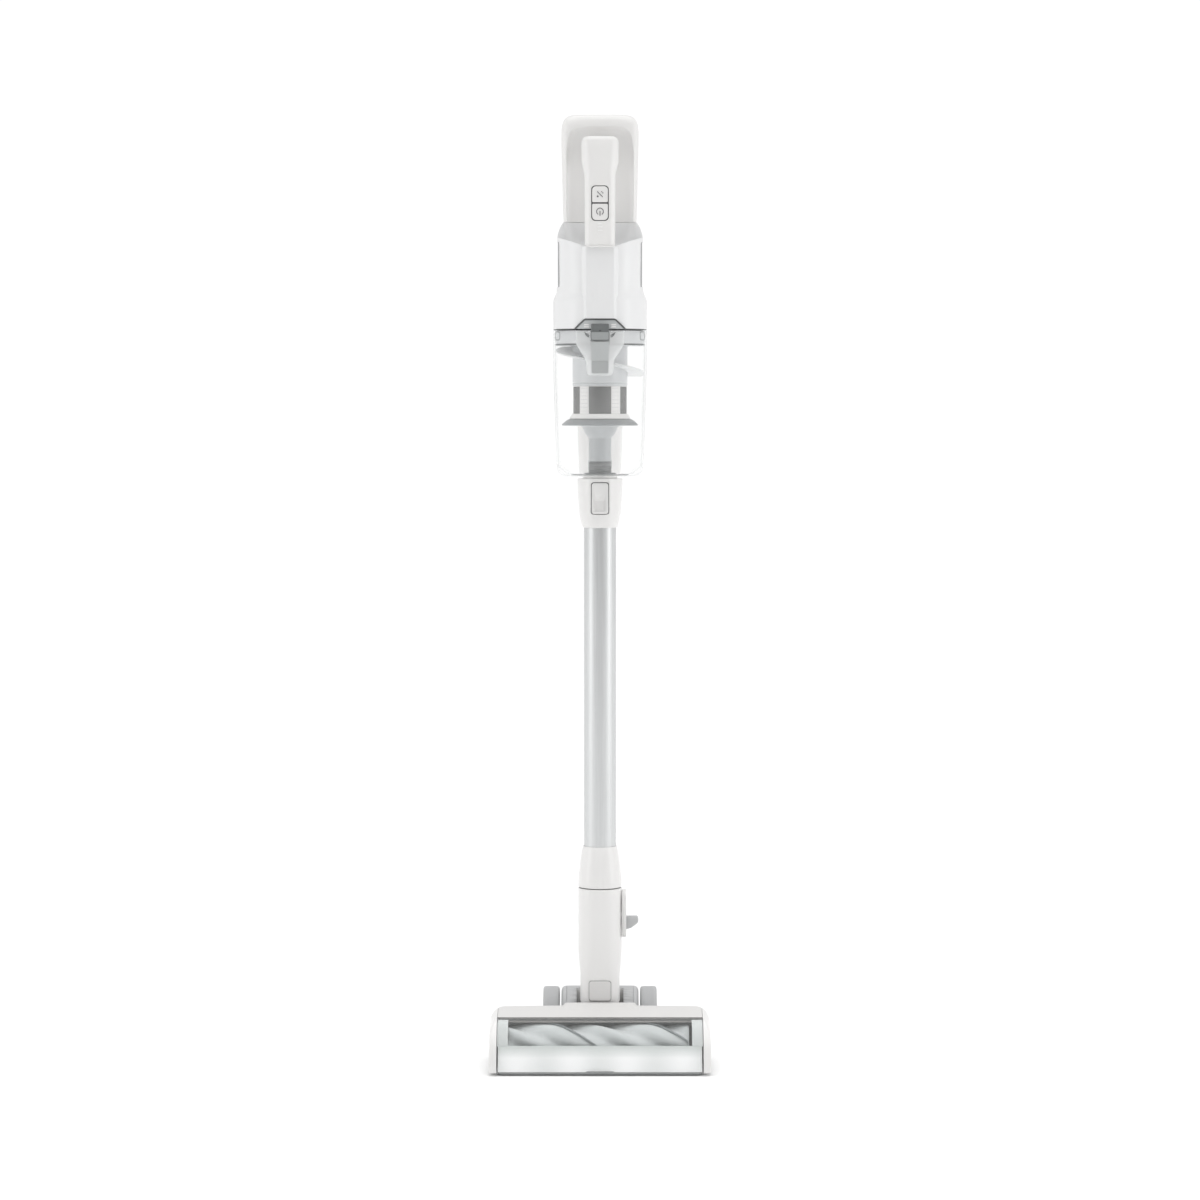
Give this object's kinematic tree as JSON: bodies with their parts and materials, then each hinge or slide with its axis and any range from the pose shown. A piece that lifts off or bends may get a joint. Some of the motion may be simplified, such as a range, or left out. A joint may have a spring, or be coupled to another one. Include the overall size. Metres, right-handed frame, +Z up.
{
  "type": "cordless stick vacuum cleaner",
  "caption": "Cordless stick vacuum: wide floor head with clear window, two-axis neck, straight wand, and a lift-off hand unit with clear dust bin, loop handle and battery block.",
  "frame": {"origin": "centre of the bounding box's base, on the floor", "axes": "+Z up along the wand, -Y towards the front of the floor head, +X to the right seen from the front"},
  "size_m": [0.2536, 0.2132, 1.0925],
  "materials": {
    "white_plastic": "satin moulded",
    "pale_grey_plastic": "fine texture",
    "grey_plastic": "fine texture",
    "mid_grey_plastic": "fine texture",
    "dark_grey_plastic": "fine texture",
    "clear_plastic": "clear moulded",
    "frosted_plastic": "frosted",
    "anodised_tube": "satin anodised",
    "steel": "bright",
    "steel_mesh": "woven mesh",
    "brass": "turned",
    "rubber": "matte",
    "roll_pile": "short soft pile",
    "bristle": "stiff bristle",
    "filter_felt": "felt",
    "circuit_board": "solder mask",
    "cell_wrap": "shrink wrap"
  },
  "bodies": {
    "floor_head": {"head_chassis": "pale_grey_plastic", "head_cover": "white_plastic", "head_window": "clear_plastic", "end_cap_left": "white_plastic", "end_cap_right": "white_plastic", "chamber_liner": "dark_grey_plastic", "light_bar": "frosted_plastic", "sole_plate": "dark_grey_plastic", "brush_motor": "steel", "drive_belt": "rubber", "wheel_axle": "steel"},
    "brush_roll": {"brush_core": "roll_pile", "bristle_strip_a": "bristle", "bristle_strip_b": "bristle", "roll_pulley": "dark_grey_plastic"},
    "brush_pinion": {"motor_pinion": "brass"},
    "left_wheel": {"wheel_left": "grey_plastic", "wheel_hub_left": "white_plastic"},
    "right_wheel": {"wheel_right": "grey_plastic", "wheel_hub_right": "white_plastic"},
    "left_roller": {"front_roller_left": "grey_plastic"},
    "right_roller": {"front_roller_right": "grey_plastic"},
    "yoke": {"swivel_yoke": "grey_plastic", "swivel_pin": "steel", "suction_hose": "rubber"},
    "neck": {"neck_housing": "white_plastic", "pivot_cover": "white_plastic", "pedal_housing": "white_plastic"},
    "pedal": {"release_pedal": "grey_plastic"},
    "wand": {"wand_tube": "anodised_tube", "lower_collar": "white_plastic", "upper_collar": "white_plastic"},
    "wand_release": {"wand_button": "white_plastic"},
    "hand_unit": {"inlet_duct": "white_plastic", "motor_housing": "white_plastic", "exhaust_grille_left": "mid_grey_plastic", "exhaust_grille_right": "mid_grey_plastic", "suction_motor": "steel", "exhaust_filter": "filter_felt", "handle_front": "white_plastic", "handle_rear": "white_plastic", "control_board": "circuit_board", "status_lens": "frosted_plastic", "battery_housing": "white_plastic"},
    "fan": {"impeller": "mid_grey_plastic"},
    "mode_key": {"mode_button": "white_plastic"},
    "power_key": {"power_button": "white_plastic"},
    "battery": {"battery_pack": "white_plastic", "cell_block": "cell_wrap"},
    "battery_catch": {"battery_latch": "mid_grey_plastic"},
    "bin": {"dust_bin": "clear_plastic", "cyclone_body": "white_plastic", "helical_ramp": "white_plastic", "mesh_screen": "steel_mesh", "cyclone_skirt": "mid_grey_plastic", "dust_cone": "white_plastic", "rubber_boot": "dark_grey_plastic", "filter_element": "filter_felt"},
    "bin_catch": {"bin_latch": "mid_grey_plastic"},
    "bin_flap": {"bin_door": "clear_plastic"}
  },
  "joints": [
    {"name": "head_pitch", "type": "hinge", "parent": "floor_head", "child": "yoke", "pos_m": [0, 0.0672, 0.0394], "axis": [-1, 0, 0], "range_deg": [0, 85], "deforming": ["suction_hose"]},
    {"name": "neck_swivel", "type": "hinge", "parent": "yoke", "child": "neck", "pos_m": [0, 0.0322, 0.083], "axis": [0, 1, 0], "range_deg": [-30, 30]},
    {"name": "wheel_left_spin", "type": "hinge", "parent": "floor_head", "child": "left_wheel", "pos_m": [0, 0.0672, 0.0394], "axis": [1, 0, 0], "continuous": true},
    {"name": "wheel_right_spin", "type": "hinge", "parent": "floor_head", "child": "right_wheel", "pos_m": [0, 0.0672, 0.0394], "axis": [1, 0, 0], "continuous": true},
    {"name": "front_roller_left_spin", "type": "hinge", "parent": "floor_head", "child": "left_roller", "pos_m": [-0.09, -0.0693, 0.005], "axis": [1, 0, 0], "continuous": true},
    {"name": "front_roller_right_spin", "type": "hinge", "parent": "floor_head", "child": "right_roller", "pos_m": [0.09, -0.0693, 0.005], "axis": [1, 0, 0], "continuous": true},
    {"name": "brush_spin", "type": "hinge", "parent": "floor_head", "child": "brush_roll", "pos_m": [0, -0.0413, 0.029], "axis": [1, 0, 0], "continuous": true},
    {"name": "pinion_spin", "type": "hinge", "parent": "floor_head", "child": "brush_pinion", "pos_m": [0, 0.0102, 0.03], "axis": [1, 0, 0], "continuous": true},
    {"name": "pedal_press", "type": "hinge", "parent": "neck", "child": "pedal", "pos_m": [0.029, 0.0322, 0.163], "axis": [0, 1, 0], "range_deg": [0, 10], "stiffness_Nm_per_rad": 0.05, "springref_deg": -1.15},
    {"name": "wand_lift", "type": "slide", "parent": "neck", "child": "wand", "axis": [0, 0, 1], "range_m": [0, 0.05]},
    {"name": "wand_button_press", "type": "slide", "parent": "wand", "child": "wand_release", "axis": [0, 1, 0], "range_m": [0, 0.0014], "stiffness_N_per_m": 300, "springref_m": -0.0003},
    {"name": "hand_unit_lift", "type": "slide", "parent": "wand", "child": "hand_unit", "axis": [0, 0, 1], "range_m": [0, 0.045]},
    {"name": "fan_spin", "type": "hinge", "parent": "hand_unit", "child": "fan", "pos_m": [0, -0.0498, 0.86], "axis": [0, 0, 1], "continuous": true},
    {"name": "mode_button_press", "type": "slide", "parent": "hand_unit", "child": "mode_key", "axis": [0, 1, 0], "range_m": [0, 0.0012], "stiffness_N_per_m": 300, "springref_m": -0.0003},
    {"name": "power_button_press", "type": "slide", "parent": "hand_unit", "child": "power_key", "axis": [0, 1, 0], "range_m": [0, 0.0012], "stiffness_N_per_m": 300, "springref_m": -0.0003},
    {"name": "battery_slide", "type": "slide", "parent": "hand_unit", "child": "battery", "axis": [0, 0, 1], "range_m": [0, 0.06]},
    {"name": "battery_latch_press", "type": "slide", "parent": "battery", "child": "battery_catch", "axis": [0, -1, 0], "range_m": [0, 0.001], "stiffness_N_per_m": 300, "springref_m": -0.0003},
    {"name": "bin_drop", "type": "slide", "parent": "hand_unit", "child": "bin", "axis": [0, 0, -1], "range_m": [0, 0.04]},
    {"name": "bin_latch_press", "type": "slide", "parent": "bin", "child": "bin_catch", "axis": [0, 1, 0], "range_m": [0, 0.0022], "stiffness_N_per_m": 300, "springref_m": -0.0003},
    {"name": "bin_door_swing", "type": "hinge", "parent": "bin", "child": "bin_flap", "pos_m": [0, 0.001, 0.6905], "axis": [1, 0, 0], "range_deg": [0, 65]}
  ],
  "couplings": [
    {"joint": "pinion_spin", "follows": "brush_spin", "ratio": 1.7755}
  ]
}
